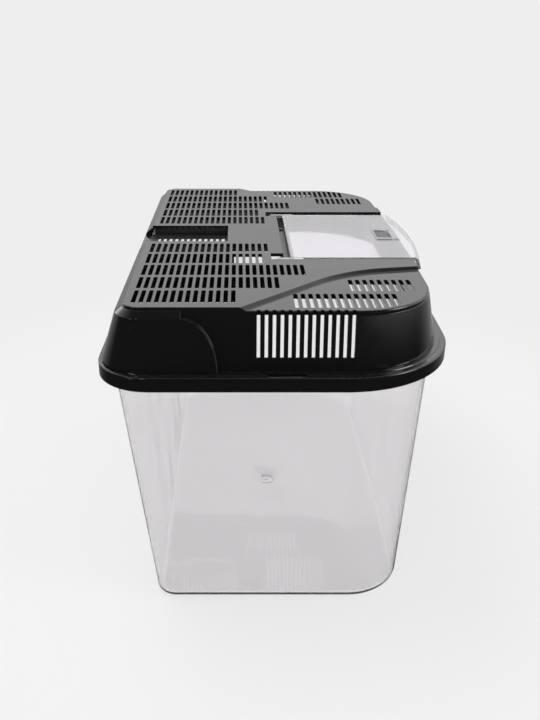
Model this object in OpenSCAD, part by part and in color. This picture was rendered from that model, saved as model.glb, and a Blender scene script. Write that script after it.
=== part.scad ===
// Plastic pet keeper: a clear tapered tub, a black slotted lid that snaps over its rim,
// and a clear hatch in the lid that opens on two moulded pins and shuts on a sprung tongue.
// X runs along the keeper, the bowed front looks along -Y, and Z = 0 is the surface it stands on.

/* [Rim of the lid] */
// Length over the skirt
rim_len = 370; // [340:1:400]
// Width over the skirt, with the bowed front
rim_wid = 235; // [215:1:255]
// Corner radius at the back
rim_back_r = 35; // [28:1:42]
// Corner radius at the front
rim_front_r = 72; // [62:1:80]
// How far the front bows out at the middle
rim_bow = 5; // [2:0.5:9]
// Height of the skirt
skirt_h = 10.4; // [9.4:0.1:14]
// Thickness of the skirt and the flange
rim_t = 2.2; // [1.8:0.1:3]
// Drop of the flange's outer step
rim_step = 0.8; // [0.4:0.1:1.2]
// Width of the flange from the skirt to the end walls
flange_w = 9; // [7:0.5:12]

/* [Dome of the lid] */
// Height of the whole keeper
total_h = 231; // [200:1:260]
// Height of the dome above the flange
dome_h = 39.6; // [36:0.2:46]
// How far the end walls lean in over the dome's height
wall_lean = 6.5; // [4:0.5:8]
// How far the front wall leans in
front_lean = 9.3; // [7:0.1:12]
// How far the back wall leans in
back_lean = 13; // [8:0.5:16]
// Thickness of the dome's walls
wall_t = 2.2; // [1.6:0.1:2.8]
// Radius of the dome's back corners at the flange
dome_back_r = 24; // [18:1:32]
// Radius of the dome's front corners at the flange
dome_front_r = 60; // [50:1:70]
// Thickness of the raised deck
deck_t = 2; // [1.6:0.1:2.4]
// Drop from the raised deck to the wings
wing_drop = 2.2; // [1.8:0.1:3]
// Drop from the raised deck to the frame under the hatch
frame_drop = 4.6; // [4.4:0.1:5.4]
// Thickness of the wings and of the hatch frame
wing_t = 3; // [2.4:0.1:3.4]

/* [Raised back panels] */
// How far the panel stands out from the wall
panel_t = 3.5; // [2:0.1:5]
// Drop from the deck to the panel's top ledge
panel_drop = 6; // [5:0.5:10]
// Depth along Y of the panel's curved front edge
panel_curve_w = 22; // [14:1:30]
// Distance of the curved edge's top from the deck's back edge
panel_start_in = 36.5; // [30:0.5:42]

/* [Deck edge curve] */
// Where the curve leaves the end wall
curve_start_y = 25.7; // [22:0.1:27]
// Angle of its straight start
curve_start_a = 45; // [42:1:48]
// Half-width of the deck where the curve reaches the front
curve_front_x = 87; // [84:1:92]
// Angle of its straight finish
curve_front_a = 80; // [77:1:84]
// Radius of the bend between them
curve_r = 95; // [80:1:100]
// How far the sloped step reaches out at its foot
step_toe = 2.3; // [1.4:0.1:3.2]

/* [Slots] */
// Width of a slot
slot_w = 2.65; // [2:0.05:2.9]
// Distance between slots in a row
slot_pitch = 4.76; // [4.6:0.02:4.9]
// Length of a deck slot
slot_len = 22.4; // [18:0.2:23]
// Distance between rows
row_pitch = 27; // [26.4:0.1:27.6]
// Distance of the first row from the middle
row_start = 30.5; // [30.1:0.1:31]
// Distance of the first column from the deck's back edge
slot_back = 6.6; // [5:0.1:8]
// Corner radius of a slot
slot_r = 0.8; // [0.4:0.1:1.1]
// Depth of the ribs between the rows, deck included
rib_h = 7.2; // [5:0.1:8]
// Depth of the ribs beside the middle strip, deck included
inner_rib_h = 5.6; // [4.5:0.1:7]
// Length of a slot in the outer wing row
wing_slot_len = 25; // [18:0.5:25.5]
// Length of a slot in the inner wing row
wing_slot_in_len = 22.5; // [18:0.5:23.5]
// Distance between wing slots in a row
wing_pitch = 4.85; // [4.65:0.05:4.95]
// Distance of the outer wing row from the middle of the keeper
wing_row_out = 151.6; // [150.6:0.1:152.6]
// Distance of the inner wing row from the middle of the keeper
wing_row_in = 122.3; // [121.3:0.1:123.3]
// Margin between the wing slots and the edge of the wing
wing_margin = 4; // [3.5:0.5:9]
// Height of the slots in the end walls
end_slot_h = 29.5; // [20:0.1:32]
// Width of the slots in the end walls
end_slot_w = 2.05; // [1.8:0.05:2.6]
// Distance between the slots in the end walls
end_pitch = 4.85; // [4.65:0.05:5]
// Height of the slots in the back wall
back_slot_h = 19; // [12:0.5:20]

/* [Back recess] */
// Width of the recess in the deck
recess_w = 47; // [40:0.5:50]
// Its length from the deck's back edge
recess_len = 63; // [50:1:64]
// Its depth below the deck
recess_d = 8; // [6:0.5:10]
// Thickness of its floor and sides
tray_t = 1.8; // [1.4:0.1:2.2]

/* [Hatch] */
// Length of the hatch along X
hatch_len = 127; // [124:0.5:129]
// Where the back edge of the hatch lies
hatch_back_y = -11.5; // [-12.5:0.1:-11]
// Thickness of the clear sheet
hatch_t = 2.2; // [1.6:0.1:2.6]
// How far the hatch's top lies below the deck
hatch_sink = 1; // [0.8:0.1:1.3]
// How far the lip reaches out past the deck's front edge
lip_out = 13.3; // [10.5:0.1:14]
// How far the lip hangs down from the hatch's top
lip_drop = 9; // [6:0.5:10]
// How far the lip bows over the hatch's length
lip_bow = 6; // [4:0.5:7]
// Gap between the hatch and the bay around it
bay_gap = 7; // [6.5:0.1:7.6]
// Width of the ledges at the ends of the opening under the hatch
ledge_w = 3; // [2.5:0.5:12]
// Length along X of the notches that the hatch's arms swing in
notch_len = 14.2; // [12.6:0.1:15]
// Width along Y of those notches
notch_wid = 9.3; // [8.4:0.1:10]
// Width along Y of the channel behind the hatch
trough_wid = 5.5; // [4.8:0.1:6.2]
// Distance of the opening from the deck's front edge
opening_in = 20.7; // [19.2:0.1:38]
// Radius of the hinge pins
pin_r = 1.7; // [1.4:0.05:1.9]
// Running clearance round a pin
pin_gap = 0.05; // [0.03:0.01:0.1]

/* [Hatch catch] */
// Length of the window in the hatch
window_len = 23.5; // [20:0.5:28]
// Width of the window
window_wid = 11.3; // [11.1:0.1:12.4]
// Distance of the window's middle from the deck's front edge
window_in = 11.2; // [10.6:0.1:12.2]
// Gap on each side of the sprung tongue
tongue_gap = 0.5; // [0.35:0.05:0.8]
// Width of the catch's head, back to front
head_wid = 9; // [8:0.1:9.1]

/* [Tub] */
// How far the tub's ends stand in from the skirt at the foot
foot_in_end = 22.6; // [20:0.2:35]
// How far the tub's back stands in at the foot
foot_in_back = 31; // [26:0.5:37]
// How far the tub's front stands in at the foot
foot_in_front = 21; // [18:0.5:33]
// How far the tub's walls stand in from the skirt at the rim
tub_in = 12.5; // [11.5:0.5:16]
// Corner radius at the back of the foot
foot_back_r = 14; // [10:1:20]
// Corner radius at the front of the foot
foot_front_r = 40; // [30:1:48]
// Thickness of the tub's walls
tub_t = 2.2; // [1.6:0.1:3]
// Thickness of the tub's floor
floor_t = 2.4; // [1.8:0.1:3.4]
// Radius of the round between floor and walls
foot_r = 5; // [3:0.5:8]
// Gap between the tub's rim and the skirt
rim_gap = 2; // [1.8:0.1:2.4]
// Gap between the tub's rim and the flange that rests over it
seat_gap = 0.2; // [0.1:0.05:0.4]
// Depth of the bead along the tub's rim
bead_h = 3.4; // [3:0.1:4]

/* [Snap catches] */
// Length of the snap nib and of the window above it
nib_len = 24; // [16:1:30]
// Where the middle of the nib lies along Y
nib_y = -3; // [-6:0.5:4]
// How far the nib stands in from the skirt
nib_in = 1.6; // [1:0.1:1.6]

/* [Hidden] */
$fn = 48;
eps = 0.02; // overlap that makes a cut run clean through
far = 400; // longer than any cut needs to be
seg_back = 6; // facets on a back corner
seg_front = 10; // facets on a front corner
seg_edge = 9; // facets along the bowed front

half_len = rim_len / 2;
half_wid = rim_wid / 2;
top_z = total_h;
deck_under_z = top_z - deck_t;
wing_z = top_z - wing_drop;
wing_under_z = wing_z - wing_t;
frame_z = top_z - frame_drop;
frame_under_z = frame_z - wing_t;
flange_z = top_z - dome_h;
flange_under_z = flange_z - rim_t;
skirt_z = flange_z - skirt_h;

// An outline is [half length, back, front, back radius, front radius, bow]
rim = [half_len, half_wid, -half_wid, rim_back_r, rim_front_r, rim_bow];
back_flange_w = flange_w - 3;
wall_foot = [half_len - flange_w, half_wid - back_flange_w, -half_wid + flange_w - 1,
  dome_back_r, dome_front_r, rim_bow];
head_r_less = 10; // the front corners tighten this much towards the deck
head_bow_less = 2; // and the bow flattens this much
wall_head = [wall_foot[0] - wall_lean, wall_foot[1] - back_lean, wall_foot[2] + front_lean,
  dome_back_r - back_lean, dome_front_r - head_r_less, max(rim_bow - head_bow_less, 0)];
tub_wide = 3; // the tub's back and front stand this much further out than its ends
tub_head = [half_len - tub_in, half_wid - tub_in + tub_wide, -half_wid + tub_in - tub_wide,
  rim_back_r - tub_in, rim_front_r - tub_in, rim_bow];
foot_bow = 3;
tub_foot = [half_len - foot_in_end, half_wid - foot_in_back, -half_wid + foot_in_front,
  foot_back_r, foot_front_r, foot_bow];
tub_rim_z = flange_under_z - seat_gap;
rim_plate_t = 2.2;
tub_wall_z = tub_rim_z - rim_plate_t;
tub_rim_out = inset(rim, rim_t + rim_gap);
nib_h = 2.2;
nib_window = 3; // width of the opening in the flange above the nib
nib_z = tub_rim_z - bead_h - nib_h / 2 - 0.8;

deck_back = wall_head[1];
deck_front = wall_head[2];
panel_start_y = deck_back - panel_start_in;
column_y = deck_back - slot_back;
// Slots in each row of a half, counted from the middle of the keeper outwards
row_counts = [19, 18, 24, 20, 14];
short_rib_end = 13; // the rib behind the channel stops at this column
wing_counts = [14, 9]; // slots in the outer and the inner wing row
wing_first_in = [90.7, 52.1]; // distance of each row's first slot from the deck's front edge
end_count = 13;
end_first_y = 14.5;
end_sill_in = 1.6; // the end slots cut this far past the wall's head
back_count = 25;
back_first_x = recess_w / 2 + 12.5;
back_slot_drop = 6; // the back slots begin this far below the deck
tray_count = 12;
tray_slot_len = recess_w - 13;
web_t = 2.2; // upright web under the deck's curved edge
step_lip = 0.3;
tray_back_gap = 0.3;
tray_z = top_z - recess_d;
recess_front = deck_back - recess_len;

hatch_x = hatch_len / 2;
hatch_z = top_z - hatch_sink;
hatch_under_z = hatch_z - hatch_t;
bay_x = hatch_x + bay_gap;
bay_wall = 2;
bay_back_y = hatch_back_y - 0.3;
trough_wall = 1.3;
trough_back_y = bay_back_y + trough_wid;
trough_floor_z = frame_under_z;
trough_hole_len = 9.3; // two openings in the channel's floor, at one end only
trough_hole_wid = 4;
trough_hole_gap = 5.7;
trough_hole_in = 0.8;
notch_in_x = bay_x - notch_len;
notch_front_y = trough_back_y;
notch_back_y = notch_front_y + notch_wid;
boss_t = 4;
pin_y = (notch_back_y + notch_front_y) / 2;
pin_z = deck_under_z - pin_r - 0.5;
ear_r = 2.6;
ear_t = 4;
arm_len = 9; // how far the arm laps along the end of the hatch
opening_x = bay_x - ledge_w;
frame_strip = 1.3; // strip of the frame behind the opening
opening_back_y = bay_back_y - trough_wall - frame_strip;
opening_front_y = deck_front + opening_in;
window_y = deck_front + window_in;
strip_gap_x = window_len / 2 - 0.8;
tongue_x = strip_gap_x - tongue_gap;
tongue_root_y = window_y - window_wid / 2 - 0.1;
tongue_end_gap = 0.3;
head_back_y = window_y + window_wid / 2 - 1.1;
surround_x = window_len / 2 + 4; // half-length of the raised frame round the window
surround_back = 1.4;
surround_front = 5.4;
surround_h = 0.7;
surround_y = window_y - window_wid / 2 - surround_front;
lip_y = deck_front - lip_out;
lip_r = 4; // outer radius of the bend above the lip
lip_flare = 2; // the lip leans out this much
lip_a = 170; // the bend ends at this angle
flat_front_y = lip_y + lip_bow + lip_r + lip_flare + 0.5; // the flat sheet ends here

function mix(a, b, t) = a + (b - a) * t;
function inset(o, d) = [o[0] - d, o[1] - d, o[2] + d, max(o[3] - d, 2), max(o[4] - d, 2), o[5]];
function blend(a, b, t) = [for (i = [0:1:5]) mix(a[i], b[i], t)];
function arc(cx, cy, r, a0, a1, n) =
  [for (i = [0:1:n]) let (a = mix(a0, a1, i / n)) [cx + r * cos(a), cy + r * sin(a)]];
// Rounded outline whose front bows out towards -Y, anticlockwise from the left of the front edge
function flat_outline(o) = let (front = o[2] + o[5], x = o[0] - o[4], xb = o[0] - o[3]) concat(
  [for (i = [0:1:seg_edge - 1]) [mix(-x, x, i / seg_edge), front]],
  arc(x, front + o[4], o[4], 270, 360, seg_front),
  arc(xb, o[1] - o[3], o[3], 0, 90, seg_back),
  arc(-xb, o[1] - o[3], o[3], 90, 180, seg_back),
  [for (i = [0:1:seg_front - 1]) let (a = mix(180, 270, i / seg_front))
    [-x + o[4] * cos(a), front + o[4] + o[4] * sin(a)]]);
function outline(o) = [for (p = flat_outline(o))
  let (bow = p[1] < 0 ? o[5] * (1 - pow(p[0] / o[0], 2)) : 0) [p[0], p[1] - bow]];
function ring(o, z) = [for (p = outline(o)) [p[0], p[1], z]];
function wall_at(z) = blend(wall_foot, wall_head, (z - flange_z) / dome_h);

// Curved edge of the raised deck: a straight start, a bend and a straight finish
function deck_curve() = let (
  start = [-wall_head[0], curve_start_y],
  finish = [-curve_front_x, deck_front],
  d0 = [cos(curve_start_a), -sin(curve_start_a)],
  d1 = [cos(curve_front_a), -sin(curve_front_a)],
  gap = finish - start,
  cross = d0[0] * d1[1] - d0[1] * d1[0],
  t = (gap[0] * d1[1] - gap[1] * d1[0]) / cross,
  meet = start + t * d0,
  tangent = curve_r * tan((curve_front_a - curve_start_a) / 2),
  bend = meet - tangent * d0,
  centre = bend - curve_r * [sin(curve_start_a), cos(curve_start_a)])
  concat([start - 20 * d0],
    arc(centre[0], centre[1], curve_r, 90 - curve_start_a, 90 - curve_front_a, 8),
    [finish + 20 * d1]);
function normals(path) = [for (i = [0:1:len(path) - 1])
  let (a = path[max(i - 1, 0)], b = path[min(i + 1, len(path) - 1)], d = (b - a) / norm(b - a))
  [d[1], -d[0]]];
function shifted(path, d) = let (n = normals(path))
  [for (i = [0:1:len(path) - 1]) path[i] - d * n[i]];

// Closed surface through rings of points; loop joins the last ring to the first
module loft(rings, loop = false) {
  n = len(rings[0]);
  m = len(rings);
  sides = [for (j = [0:1:(loop ? m : m - 1) - 1]) for (i = [0:1:n - 1]) each
    let (k = (i + 1) % n, up = ((j + 1) % m) * n)
    [[j * n + i, up + i, up + k], [j * n + i, up + k, j * n + k]]];
  caps = loop ? [] : [[for (i = [0:1:n - 1]) i], [for (i = [n - 1:-1:0]) (m - 1) * n + i]];
  polyhedron([for (r = rings) each r], concat(sides, caps), convexity = 8);
}

// Rectangle with small round corners, the plan of a slot
module slot(len, wid) {
  x = len / 2 - slot_r;
  y = wid / 2 - slot_r;
  polygon(concat(arc(x, y, slot_r, 0, 90, 2), arc(-x, y, slot_r, 90, 180, 2),
    arc(-x, -y, slot_r, 180, 270, 2), arc(x, -y, slot_r, 270, 360, 2)));
}

module row(count, len, pitch = slot_pitch) {
  for (i = [0:1:count - 1])
    translate([0, -pitch * i]) slot(len, slot_w);
}

// Plan of the raised deck, both halves
module deck_plan() {
  left = deck_curve();
  right = [for (i = [len(left) - 1:-1:0]) [-left[i][0], left[i][1]]];
  polygon(concat(left, right, [[far, far], [-far, far]]));
}

// Plan of the cut that the hatch lies in
module bay_plan() {
  translate([-bay_x, -far]) square([2 * bay_x, far + bay_back_y]);
}

// Rectangle that is symmetric in X and runs from y0 to y1
module band(half_x, y0, y1) {
  translate([-half_x, y0]) square([2 * half_x, y1 - y0]);
}

// Plan of the cut in the deck behind the hatch: a channel, and two notches that the arms swing in
module trough_plan() {
  band(bay_x, bay_back_y - eps, trough_back_y);
  difference() {
    band(bay_x, notch_front_y - eps, notch_back_y);
    band(notch_in_x, notch_front_y - 1, notch_back_y + 1);
  }
}

module recess_plan(grow = 0) {
  translate([-recess_w / 2 - grow, recess_front - grow]) square([recess_w + 2 * grow, far]);
}

module deck_slots() {
  for (k = [0:1:len(row_counts) - 1])
    translate([-row_start - k * row_pitch - slot_len / 2, column_y])
      row(row_counts[k], slot_len);
}

// Rib under the deck on the outer side of row k, from y0 to y1
module rib(k, y0, y1, h) {
  translate([-row_start - k * row_pitch, y0, top_z - h])
    cube([row_pitch - slot_len, y1 - y0, h - deck_t + 0.5]);
}

module deck_ribs() {
  start = wall_at(deck_under_z)[1] - wall_t - 0.6;
  row_end = [for (n = row_counts) column_y - (n - 0.5) * slot_pitch];
  rib(0, row_end[0], recess_front - tray_t - 0.3, inner_rib_h);
  rib(1, column_y - short_rib_end * slot_pitch, start, rib_h);
  rib(2, row_end[2], start, rib_h);
  rib(3, row_end[2], start, rib_h);
  rib(4, row_end[3] + slot_pitch, start, rib_h);
}

// Step from the deck down to a wing: an upright web under the deck and a sloped face outside it
module deck_step() {
  path = deck_curve();
  inner = shifted(path, web_t);
  intersection() {
    translate([0, 0, wing_under_z])
      linear_extrude(deck_under_z + 0.5 - wing_under_z)
        polygon(concat(path, [for (i = [len(path) - 1:-1:0]) inner[i]]));
    translate([0, 0, wing_under_z - 1])
      linear_extrude(dome_h) polygon(outline(inset(wall_at(top_z), wall_t + 0.4)));
  }
  foot = shifted(path, -step_toe);
  lip = shifted(path, -step_lip);
  lip_z = top_z - step_lip;
  intersection() {
    loft([for (i = [0:1:len(path) - 1]) [
      [path[i][0], path[i][1], wing_z + eps],
      [path[i][0], path[i][1], lip_z],
      [lip[i][0], lip[i][1], lip_z],
      [foot[i][0], foot[i][1], wing_z + eps]]]);
    translate([0, 0, wing_z - 1])
      linear_extrude(dome_h) polygon(outline(wall_at(top_z)));
  }
}

module deck_half() {
  translate([0, 0, deck_under_z])
    linear_extrude(deck_t)
      difference() {
        intersection() {
          polygon(outline(wall_at(top_z)));
          deck_plan();
          translate([-far, -far]) square([far, 2 * far]);
        }
        bay_plan();
        trough_plan();
        recess_plan();
        deck_slots();
      }
  deck_ribs();
  deck_step();
}

module wing() {
  difference() {
    translate([0, 0, wing_under_z])
      linear_extrude(wing_t)
        difference() {
          intersection() {
            polygon(outline(wall_at(wing_z)));
            translate([-far, -far]) square([far - bay_x - bay_wall, 2 * far]);
          }
          deck_plan();
          intersection() {
            polygon(outline(inset(wall_at(wing_z), wing_margin)));
            union() {
              translate([-wing_row_out, deck_front + wing_first_in[0]])
                row(wing_counts[0], wing_slot_len, wing_pitch);
              translate([-wing_row_in, deck_front + wing_first_in[1]])
                row(wing_counts[1], wing_slot_in_len, wing_pitch);
            }
          }
        }
    end_slots();
  }
}

// Cutters for the upright slots in the left end wall
module end_slots() {
  for (i = [0:1:end_count - 1])
    translate([-half_len, end_first_y - i * end_pitch - end_slot_w / 2, wing_z - end_slot_h])
      cube([half_len - wall_head[0] + end_sill_in, end_slot_w, end_slot_h + 1]);
}

module back_slots() {
  for (s = [-1, 1])
    for (i = [0:1:back_count - 1])
      translate([s * (back_first_x + i * slot_pitch) - slot_w / 2, deck_back - 3 * wall_t,
        deck_under_z - back_slot_drop - back_slot_h])
        cube([slot_w, half_wid, back_slot_h]);
}

// Profile of a raised back panel, seen from the end
module panel_profile() {
  ledge_z = top_z - panel_drop;
  h = ledge_z - flange_z;
  polygon(concat(
    [for (i = [0:1:10]) let (a = mix(180, 90, i / 10))
      [panel_start_y + panel_curve_w * cos(a), flange_z + h * sin(a)]],
    [[panel_start_y, top_z], [far, top_z], [far, flange_z]]));
}

module wall_solid(d, z0, z1) {
  loft([ring(inset(wall_at(z0), d), z0), ring(inset(wall_at(z1), d), z1)]);
}

// Block round the middle of the back wall, under the recess
module middle_block() {
  translate([-recess_w / 2, 0, 0]) cube([recess_w, far, far]);
}

module dome_walls() {
  ledge_z = top_z - panel_drop;
  difference() {
    union() {
      wall_solid(0, flange_z, deck_under_z);
      intersection() {
        loft([ring(inset(wall_at(flange_z), -panel_t), flange_z),
          ring(inset(wall_at(ledge_z), -panel_t), ledge_z),
          ring(inset(wall_at(deck_under_z), -0.1), deck_under_z)]);
        rotate([90, 0, 90]) linear_extrude(2 * far, center = true) panel_profile();
      }
    }
    wall_solid(wall_t, flange_z - 1, deck_under_z + 1);
    translate([0, 0, wing_under_z]) linear_extrude(dome_h) difference() {
      translate([-far, -far]) square(2 * far);
      deck_plan();
    }
    translate([0, 0, frame_under_z]) linear_extrude(dome_h) bay_plan();
    translate([0, 0, tray_z]) linear_extrude(dome_h)
      translate([-recess_w / 2, 0]) square([recess_w, far]);
    end_slots();
    mirror([1, 0, 0]) end_slots();
    back_slots();
  }
}

module lid_walls() {
  color("#1a1a1c") difference() {
    dome_walls();
    middle_block();
  }
}

module lid_wall_middle() {
  color("#1a1a1c") intersection() {
    dome_walls();
    middle_block();
  }
}

module lid_flange() {
  color("#1a1a1c") difference() {
    loft([ring(rim, flange_under_z),
      ring(rim, flange_z - rim_step - 1.2),
      ring(inset(rim, 0.4), flange_z - rim_step - 0.4),
      ring(inset(rim, 1.4), flange_z - rim_step),
      ring(inset(rim, 4), flange_z - rim_step),
      ring(inset(rim, 4.3), flange_z),
      ring(inset(wall_foot, wall_t), flange_z),
      ring(inset(wall_foot, wall_t), flange_under_z)], loop = true);
    for (s = [-1, 1])
      translate([s * (half_len - rim_t - nib_window / 2), nib_y, flange_z])
        cube([nib_window, nib_len, 4 * rim_t], center = true);
  }
}

// Blocks round the corners of the skirt and the middle of its bowed front
module corner_blocks() {
  front_y = -half_wid + rim_front_r;
  for (s = [-1, 1]) {
    translate([s * (half_len - rim_back_r), half_wid - rim_back_r, 0])
      translate([s * far / 2, far / 2, 0]) cube([far, far, far], center = true);
    translate([s * (half_len - rim_front_r), front_y, 0])
      translate([s * far / 2, -far / 2, 0]) cube([far, far, far], center = true);
  }
  translate([0, front_y - far / 2, 0])
    cube([2 * (half_len - rim_front_r) / 3, far, far], center = true);
}

module skirt() {
  loft([ring(rim, skirt_z), ring(rim, flange_under_z),
    ring(inset(rim, rim_t), flange_under_z), ring(inset(rim, rim_t), skirt_z)], loop = true);
}

module lid_skirt_corners() {
  color("#1a1a1c") intersection() {
    skirt();
    translate([0, 0, flange_z]) corner_blocks();
  }
}

// Sides of the skirt, with the nibs that snap under the tub's rim at the ends
module lid_skirt_sides() {
  color("#1a1a1c") union() {
    difference() {
      skirt();
      translate([0, 0, flange_z]) corner_blocks();
    }
    for (s = [-1, 1])
      translate([s * (half_len - rim_t - nib_in / 2 + 0.25), nib_y, nib_z])
        cube([nib_in + 0.5, nib_len, nib_h], center = true);
  }
}

module lid_deck_left() {
  color("#202022") union() deck_half();
}

module lid_deck_right() {
  color("#202022") mirror([1, 0, 0]) deck_half();
}

module lid_wing_left() {
  color("#202022") wing();
}

module lid_wing_right() {
  color("#202022") mirror([1, 0, 0]) wing();
}

module recess_tray() {
  back = wall_at(tray_z)[1] - wall_t - tray_back_gap;
  side_back = wall_at(deck_under_z)[1] - wall_t - tray_back_gap;
  out_x = recess_w / 2 + tray_t;
  color("#18181a") difference() {
    union() {
      translate([-out_x, recess_front - tray_t, tray_z - tray_t])
        cube([2 * out_x, back - recess_front + tray_t, tray_t]);
      translate([-out_x, recess_front - tray_t, tray_z - tray_t])
        cube([2 * out_x, side_back - recess_front + tray_t, deck_under_z - tray_z + tray_t]);
    }
    translate([-recess_w / 2, recess_front, tray_z]) cube([recess_w, far, far]);
    translate([0, column_y, tray_z - tray_t - 1])
      linear_extrude(tray_t + 2) row(tray_count, tray_slot_len);
  }
}

// Frame round the opening, with the upright sides of the bay and a gap for the sprung tongue
module hatch_frame() {
  back = bay_back_y - trough_wall;
  side_front = deck_front + wall_t + 1.3;
  color("#202022") difference() {
    union() {
      translate([0, 0, frame_under_z]) linear_extrude(wing_t) intersection() {
        polygon(outline(wall_at(frame_z)));
        translate([-bay_x, -far]) square([2 * bay_x, far + back]);
      }
      for (s = [-1, 1])
        translate([s * (bay_x + bay_wall / 2) - bay_wall / 2, side_front, frame_under_z])
          cube([bay_wall, back - side_front, deck_under_z - frame_under_z]);
    }
    translate([0, 0, frame_under_z - 1]) linear_extrude(wing_t + 2) {
      translate([-opening_x, opening_front_y])
        square([2 * opening_x, opening_back_y - opening_front_y]);
      translate([-strip_gap_x, tongue_root_y])
        square([2 * strip_gap_x, opening_front_y - tongue_root_y + wing_t]);
    }
  }
}

// Channel behind the hatch, with a boss at each end that a pin turns in
module hinge_trough() {
  under = trough_floor_z - tray_t;
  outer_x = bay_x + boss_t;
  front_y = bay_back_y - trough_wall;
  hole_x = notch_in_x - trough_hole_in;
  hole_y = bay_back_y + trough_hole_in;
  color("#18181a") difference() {
    union() {
      translate([0, 0, under]) linear_extrude(frame_z - under) band(outer_x, front_y, bay_back_y);
      translate([0, 0, under]) linear_extrude(deck_under_z - under) {
        band(notch_in_x, front_y, trough_back_y + trough_wall);
        difference() {
          band(outer_x, front_y, notch_back_y + trough_wall);
          band(bay_x, front_y - 1, far);
        }
      }
    }
    translate([0, 0, trough_floor_z]) linear_extrude(far) band(bay_x, bay_back_y, trough_back_y);
    translate([-bay_x, -far, frame_z]) cube([2 * bay_x, far + bay_back_y + 1, far]);
    for (i = [1, 2])
      translate([hole_x - i * trough_hole_len - (i - 1) * trough_hole_gap, hole_y, under - 1])
        cube([trough_hole_len, trough_hole_wid, tray_t + 2]);
    for (s = [-1, 1])
      translate([s * (bay_x + boss_t / 2), pin_y, pin_z]) rotate([0, 90, 0])
        cylinder(h = boss_t + 2, r = pin_r + pin_gap, center = true);
  }
}

module hatch_catch() {
  color("#202022") union() {
    translate([-tongue_x, tongue_root_y + tongue_end_gap, frame_under_z + 0.2])
      cube([2 * tongue_x, opening_front_y - tongue_root_y - 2 * tongue_end_gap, wing_t - 0.4]);
    translate([-tongue_x, head_back_y - head_wid, frame_z - 0.5])
      cube([2 * tongue_x, head_wid, hatch_z - frame_z + 0.3]);
  }
}

// Section of the lip at a station along X
function lip_section(x) = let (
  y = lip_y + lip_bow * pow(x / hatch_x, 2), bend_y = y + lip_r + lip_flare,
  bend_z = hatch_z - lip_r, q = lip_r - hatch_t, foot_z = hatch_z - lip_drop) concat(
  [[x, flat_front_y, hatch_z]],
  [for (i = [0:1:4]) let (a = mix(90, lip_a, i / 4)) [x, bend_y + lip_r * cos(a), bend_z + lip_r * sin(a)]],
  [[x, y, foot_z], [x, y + hatch_t, foot_z]],
  [for (i = [0:1:4]) let (a = mix(lip_a, 90, i / 4)) [x, bend_y + q * cos(a), bend_z + q * sin(a)]],
  [[x, flat_front_y, hatch_under_z]]);

module hatch_lip() {
  stations = 8;
  color([0.88, 0.87, 0.93, 0.4])
    loft([for (i = [0:1:stations]) lip_section(mix(-hatch_x, hatch_x, i / stations))]);
}

// Flat sheet of the hatch, up to the bend of its lip
module hatch_panel() {
  color([0.88, 0.87, 0.93, 0.4]) difference() {
    translate([-hatch_x, flat_front_y, hatch_under_z])
      cube([2 * hatch_x, hatch_back_y - flat_front_y, hatch_t]);
    surround(far);
  }
}

// Block over the window and the frame round it
module surround(height) {
  translate([-surround_x, surround_y, hatch_under_z - height / 2])
    cube([2 * surround_x, window_wid + surround_back + surround_front, height]);
}

// Raised frame round the window that the catch stands in
module hatch_window() {
  color([0.88, 0.87, 0.93, 0.4]) difference() {
    intersection() {
      surround(far);
      translate([0, 0, hatch_under_z + (hatch_t + surround_h) / 2])
        cube([far, far, hatch_t + surround_h], center = true);
    }
    translate([0, window_y, hatch_z]) cube([window_len, window_wid, far], center = true);
  }
}

// Arm and pin at one end of the hatch
module hatch_pin() {
  pin_out = bay_x + boss_t - 0.6;
  color([0.86, 0.85, 0.92, 0.5]) union() {
    translate([-hatch_x - ear_t, pin_y, pin_z]) rotate([0, 90, 0]) cylinder(h = ear_t, r = ear_r);
    translate([-hatch_x - ear_t, hatch_back_y - arm_len, hatch_under_z])
      cube([ear_t, pin_y - hatch_back_y + arm_len, hatch_t - 0.2]);
    translate([-pin_out, pin_y, pin_z]) rotate([0, 90, 0]) cylinder(h = pin_out - hatch_x - 1, r = pin_r);
  }
}

module hatch_pin_left() {
  hatch_pin();
}

module hatch_pin_right() {
  mirror([1, 0, 0]) hatch_pin();
}

module tub() {
  z1 = foot_r;
  span = tub_wall_z;
  function side(z) = blend(tub_foot, tub_head, z / span);
  color([0.87, 0.86, 0.9, 0.35]) loft(concat(
    [for (i = [0:1:4]) let (a = mix(0, 90, i / 4))
      ring(inset(side(z1 * (1 - cos(a))), foot_r * (1 - sin(a))), z1 * (1 - cos(a)))],
    [ring(side(tub_wall_z), tub_wall_z), ring(inset(side(tub_wall_z), tub_t), tub_wall_z)],
    [for (i = [4:-1:0]) let (a = mix(0, 90, i / 4), r = foot_r - 1, z = floor_t + r * (1 - cos(a)))
      ring(inset(side(z), tub_t + r * (1 - sin(a))), z)]));
}

module tub_rim() {
  inner = inset(tub_head, tub_t);
  under = tub_rim_z - rim_plate_t;
  color([0.87, 0.86, 0.9, 0.35]) loft([ring(tub_rim_out, tub_rim_z - bead_h),
    ring(tub_rim_out, tub_rim_z - 0.6),
    ring(inset(tub_rim_out, 0.6), tub_rim_z),
    ring(inner, tub_rim_z),
    ring(inner, under),
    ring(inset(tub_rim_out, 2), under),
    ring(inset(tub_rim_out, 2), tub_rim_z - bead_h)], loop = true);
}

tub();
tub_rim();
lid_walls();
lid_wall_middle();
lid_flange();
lid_skirt_corners();
lid_skirt_sides();
lid_deck_left();
lid_deck_right();
lid_wing_left();
lid_wing_right();
recess_tray();
hatch_frame();
hinge_trough();
hatch_catch();
hatch_panel();
hatch_window();
hatch_lip();
hatch_pin_left();
hatch_pin_right();
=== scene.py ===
# Plastic pet keeper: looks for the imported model, in metres.
import math

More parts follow.
